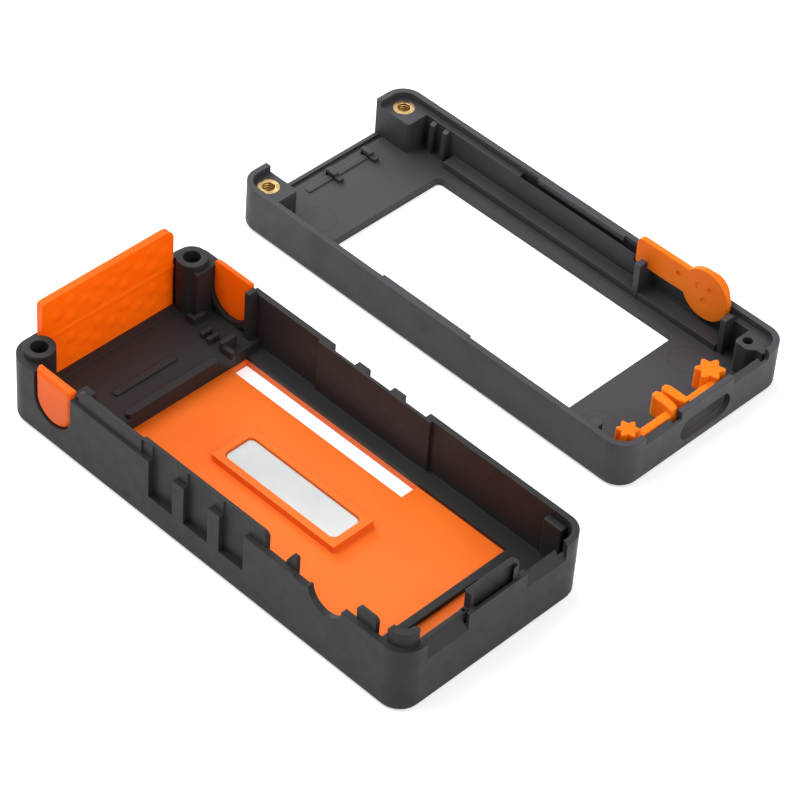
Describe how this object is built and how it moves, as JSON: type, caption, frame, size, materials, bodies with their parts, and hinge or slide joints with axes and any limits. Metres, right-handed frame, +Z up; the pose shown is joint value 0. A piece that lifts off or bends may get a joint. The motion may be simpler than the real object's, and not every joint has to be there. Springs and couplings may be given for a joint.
{
  "type": "development board case",
  "caption": "Two-part plastic case for a small display board, shown open, with orange end grille, port blanks, back plate with magnet, round side button and end button strip.",
  "frame": {"origin": "middle of the base shell's flat underside; the cover lies beside it with its inside up", "axes": "+X along the case towards the connector end, +Y from the base towards the cover beside it, +Z up"},
  "size_m": [0.0889, 0.0903, 0.018],
  "materials": {
    "grey_plastic": "fine matt moulded ABS",
    "orange_plastic": "satin moulded, slightly soft",
    "plated_magnet": "dull nickel plating",
    "brass": "turned and knurled"
  },
  "bodies": {
    "case": {"base_shell": "grey_plastic", "cover_shell": "grey_plastic", "end_grille": "orange_plastic", "side_plug_near": "orange_plastic", "side_plug_far": "orange_plastic", "back_plate": "orange_plastic", "magnet": "plated_magnet", "threaded_insert_near": "brass", "threaded_insert_far": "brass"},
    "side_button": {"side_button": "orange_plastic"},
    "end_buttons": {"end_button_strip": "orange_plastic"}
  },
  "joints": [
    {"name": "side_button_press", "type": "slide", "parent": "case", "child": "side_button", "axis": [0, -1, 0], "range_m": [0, 0.0004], "stiffness_N_per_m": 1500},
    {"name": "end_buttons_press", "type": "slide", "parent": "case", "child": "end_buttons", "axis": [-1, 0, 0], "range_m": [0, 0.0004], "stiffness_N_per_m": 1500}
  ]
}
